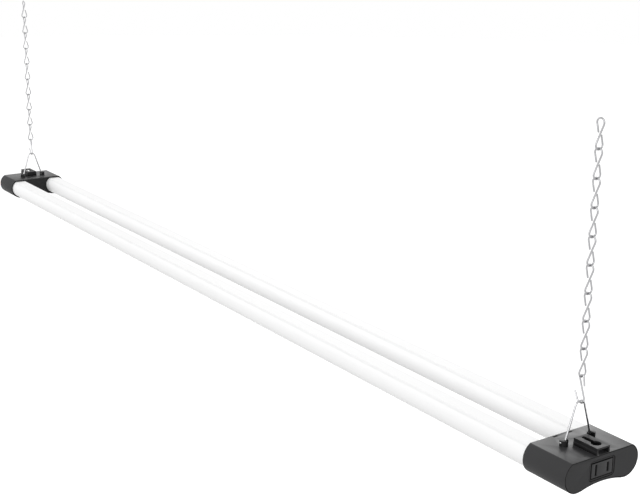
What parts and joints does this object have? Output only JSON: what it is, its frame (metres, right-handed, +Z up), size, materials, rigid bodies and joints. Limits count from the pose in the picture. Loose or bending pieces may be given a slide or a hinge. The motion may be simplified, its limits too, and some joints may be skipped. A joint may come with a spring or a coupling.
{
  "type": "hanging shop light",
  "caption": "Long double-tube LED shop light with an outlet in one end cap, keyhole brackets, and a wire bail, S hook and jack chain to hang each end.",
  "frame": {"origin": "midway between the round heads of the two keyholes, on the plane of the keyhole brackets' tops", "axes": "+X along the light towards the outlet end, +Y across it towards the rear tube, +Z up towards the ceiling"},
  "size_m": [1.16, 0.0796, 0.2807],
  "materials": {
    "cap_plastic": "fine-textured black moulding",
    "carrier_plastic": "plain black moulding",
    "bracket_plastic": "plain black moulding",
    "insert_plastic": "smooth black moulding",
    "contact_brass": "stamped",
    "screw_steel": "zinc plated",
    "gland_rubber": "moulded",
    "driver_laminate": "solder-masked laminate",
    "terminal_plastic": "moulded",
    "transformer_tape": "wound tape over ferrite",
    "capacitor_sleeve": "shrunk sleeve",
    "fuse_ceramic": "glazed",
    "frosted_diffuser": "frosted white, translucent",
    "white_rail": "white powder coat over aluminium",
    "white_laminate": "white solder mask",
    "emitter_phosphor": "silicone over phosphor",
    "wire_insulation": "smooth",
    "lead_insulation": "smooth",
    "bail_steel": "bright zinc wire",
    "hook_steel": "bright zinc wire",
    "chain_steel": "bright zinc wire"
  },
  "bodies": {
    "housing": {"outlet_cap_shell": "cap_plastic", "outlet_carrier": "carrier_plastic", "outlet_keyhole_bracket": "bracket_plastic", "outlet_insert": "insert_plastic", "outlet_contacts": "contact_brass", "outlet_rail_screws": "screw_steel", "outlet_cap_screws": "screw_steel", "cord_cap_shell": "cap_plastic", "cord_carrier": "carrier_plastic", "cord_keyhole_bracket": "bracket_plastic", "cord_gland": "gland_rubber", "cord_rail_screws": "screw_steel", "cord_cap_screws": "screw_steel", "driver_board": "driver_laminate", "driver_screws": "screw_steel", "driver_terminal": "terminal_plastic", "driver_transformer": "transformer_tape", "driver_capacitors": "capacitor_sleeve", "driver_fuse": "fuse_ceramic", "front_diffuser": "frosted_diffuser", "rear_diffuser": "frosted_diffuser", "front_rail": "white_rail", "rear_rail": "white_rail", "front_led_board": "white_laminate", "rear_led_board": "white_laminate", "front_leds": "emitter_phosphor", "rear_leds": "emitter_phosphor", "through_wires": "wire_insulation", "board_leads": "lead_insulation"},
    "outlet_bail": {"outlet_bail": "bail_steel"},
    "outlet_s_hook": {"outlet_s_hook": "hook_steel"},
    "cord_bail": {"cord_bail": "bail_steel"},
    "cord_s_hook": {"cord_s_hook": "hook_steel"},
    "outlet_chain_link_1": {"outlet_chain_link_1": "chain_steel"},
    "outlet_chain_link_2": {"outlet_chain_link_2": "chain_steel"},
    "outlet_chain_link_3": {"outlet_chain_link_3": "chain_steel"},
    "outlet_chain_link_4": {"outlet_chain_link_4": "chain_steel"},
    "outlet_chain_link_5": {"outlet_chain_link_5": "chain_steel"},
    "outlet_chain_link_6": {"outlet_chain_link_6": "chain_steel"},
    "outlet_chain_link_7": {"outlet_chain_link_7": "chain_steel"},
    "outlet_chain_link_8": {"outlet_chain_link_8": "chain_steel"},
    "outlet_chain_link_9": {"outlet_chain_link_9": "chain_steel"},
    "cord_chain_link_1": {"cord_chain_link_1": "chain_steel"},
    "cord_chain_link_2": {"cord_chain_link_2": "chain_steel"},
    "cord_chain_link_3": {"cord_chain_link_3": "chain_steel"},
    "cord_chain_link_4": {"cord_chain_link_4": "chain_steel"},
    "cord_chain_link_5": {"cord_chain_link_5": "chain_steel"},
    "cord_chain_link_6": {"cord_chain_link_6": "chain_steel"},
    "cord_chain_link_7": {"cord_chain_link_7": "chain_steel"},
    "cord_chain_link_8": {"cord_chain_link_8": "chain_steel"},
    "cord_chain_link_9": {"cord_chain_link_9": "chain_steel"}
  },
  "joints": [
    {"name": "outlet_bail_pivot", "type": "hinge", "parent": "housing", "child": "outlet_bail", "pos_m": [0.5528, 0, -0.0026], "axis": [0, 1, 0], "range_deg": [-90, 72]},
    {"name": "outlet_s_hook_swing", "type": "hinge", "parent": "outlet_bail", "child": "outlet_s_hook", "pos_m": [0.5528, 0, 0.0284], "axis": [0, -1, 0], "range_deg": [-90, 90]},
    {"name": "outlet_link_1_swing", "type": "hinge", "parent": "outlet_s_hook", "child": "outlet_chain_link_1", "pos_m": [0.5528, 0, 0.04955], "axis": [1, 0, 0], "range_deg": [-75, 75]},
    {"name": "outlet_link_2_swing", "type": "hinge", "parent": "outlet_chain_link_1", "child": "outlet_chain_link_2", "pos_m": [0.5528, 0, 0.07003], "axis": [0, 1, 0], "range_deg": [-75, 75]},
    {"name": "outlet_link_3_swing", "type": "hinge", "parent": "outlet_chain_link_2", "child": "outlet_chain_link_3", "pos_m": [0.5528, 0, 0.09373], "axis": [-1, 0, 0], "range_deg": [-75, 75]},
    {"name": "outlet_link_4_swing", "type": "hinge", "parent": "outlet_chain_link_3", "child": "outlet_chain_link_4", "pos_m": [0.5528, 0, 0.11422], "axis": [0, -1, 0], "range_deg": [-75, 75]},
    {"name": "outlet_link_5_swing", "type": "hinge", "parent": "outlet_chain_link_4", "child": "outlet_chain_link_5", "pos_m": [0.5528, 0, 0.13792], "axis": [1, 0, 0], "range_deg": [-75, 75]},
    {"name": "outlet_link_6_swing", "type": "hinge", "parent": "outlet_chain_link_5", "child": "outlet_chain_link_6", "pos_m": [0.5528, 0, 0.15843], "axis": [0, 1, 0], "range_deg": [-75, 75]},
    {"name": "outlet_link_7_swing", "type": "hinge", "parent": "outlet_chain_link_6", "child": "outlet_chain_link_7", "pos_m": [0.5528, 0, 0.18213], "axis": [-1, 0, 0], "range_deg": [-75, 75]},
    {"name": "outlet_link_8_swing", "type": "hinge", "parent": "outlet_chain_link_7", "child": "outlet_chain_link_8", "pos_m": [0.5528, 0, 0.20262], "axis": [0, -1, 0], "range_deg": [-75, 75]},
    {"name": "outlet_link_9_swing", "type": "hinge", "parent": "outlet_chain_link_8", "child": "outlet_chain_link_9", "pos_m": [0.5528, 0, 0.22632], "axis": [1, 0, 0], "range_deg": [-75, 75]},
    {"name": "cord_bail_pivot", "type": "hinge", "parent": "housing", "child": "cord_bail", "pos_m": [-0.5528, 0, -0.0026], "axis": [0, -1, 0], "range_deg": [-90, 72]},
    {"name": "cord_s_hook_swing", "type": "hinge", "parent": "cord_bail", "child": "cord_s_hook", "pos_m": [-0.5528, 0, 0.0284], "axis": [0, 1, 0], "range_deg": [-90, 90]},
    {"name": "cord_link_1_swing", "type": "hinge", "parent": "cord_s_hook", "child": "cord_chain_link_1", "pos_m": [-0.5528, 0, 0.04955], "axis": [1, 0, 0], "range_deg": [-75, 75]},
    {"name": "cord_link_2_swing", "type": "hinge", "parent": "cord_chain_link_1", "child": "cord_chain_link_2", "pos_m": [-0.5528, 0, 0.07003], "axis": [0, 1, 0], "range_deg": [-75, 75]},
    {"name": "cord_link_3_swing", "type": "hinge", "parent": "cord_chain_link_2", "child": "cord_chain_link_3", "pos_m": [-0.5528, 0, 0.09373], "axis": [-1, 0, 0], "range_deg": [-75, 75]},
    {"name": "cord_link_4_swing", "type": "hinge", "parent": "cord_chain_link_3", "child": "cord_chain_link_4", "pos_m": [-0.5528, 0, 0.11422], "axis": [0, -1, 0], "range_deg": [-75, 75]},
    {"name": "cord_link_5_swing", "type": "hinge", "parent": "cord_chain_link_4", "child": "cord_chain_link_5", "pos_m": [-0.5528, 0, 0.13792], "axis": [1, 0, 0], "range_deg": [-75, 75]},
    {"name": "cord_link_6_swing", "type": "hinge", "parent": "cord_chain_link_5", "child": "cord_chain_link_6", "pos_m": [-0.5528, 0, 0.15843], "axis": [0, 1, 0], "range_deg": [-75, 75]},
    {"name": "cord_link_7_swing", "type": "hinge", "parent": "cord_chain_link_6", "child": "cord_chain_link_7", "pos_m": [-0.5528, 0, 0.18213], "axis": [-1, 0, 0], "range_deg": [-75, 75]},
    {"name": "cord_link_8_swing", "type": "hinge", "parent": "cord_chain_link_7", "child": "cord_chain_link_8", "pos_m": [-0.5528, 0, 0.20262], "axis": [0, -1, 0], "range_deg": [-75, 75]},
    {"name": "cord_link_9_swing", "type": "hinge", "parent": "cord_chain_link_8", "child": "cord_chain_link_9", "pos_m": [-0.5528, 0, 0.22632], "axis": [1, 0, 0], "range_deg": [-75, 75]}
  ]
}
